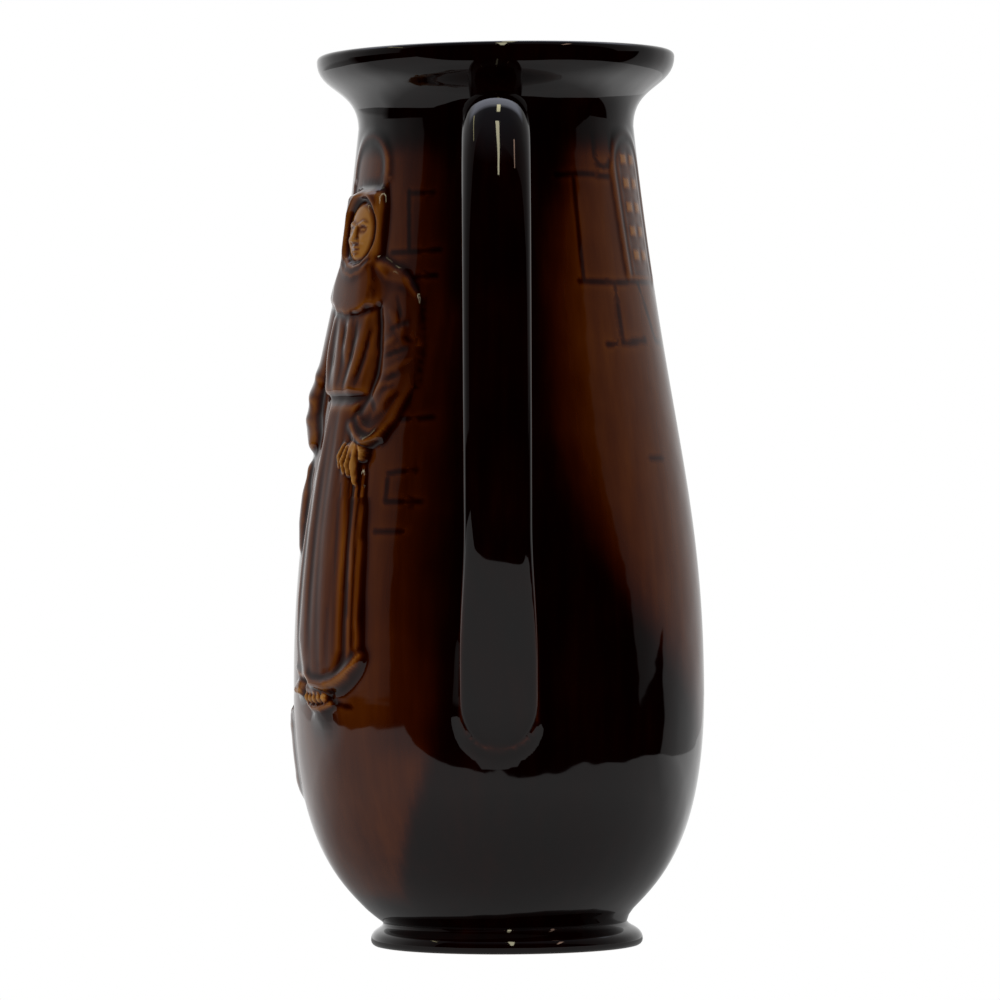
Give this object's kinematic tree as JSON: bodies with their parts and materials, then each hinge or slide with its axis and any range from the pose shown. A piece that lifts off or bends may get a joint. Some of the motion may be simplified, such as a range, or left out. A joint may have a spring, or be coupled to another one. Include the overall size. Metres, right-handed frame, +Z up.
{
  "type": "loving cup",
  "caption": "Tall two-handled stoneware loving cup with a flared rim, rolled foot and a moulded relief of hooded monks and lattice windows under a treacle-brown glaze.",
  "frame": {"origin": "middle of the underside, on the surface the cup stands on", "axes": "+Z up the cup's axis, through the middle of the mouth; the two handles stand on -Y and +Y"},
  "size_m": [0.1496, 0.2068, 0.321],
  "materials": {
    "treacle_glaze": "gloss"
  },
  "bodies": {
    "root": {"loving_cup": "treacle_glaze"}
  },
  "joints": []
}
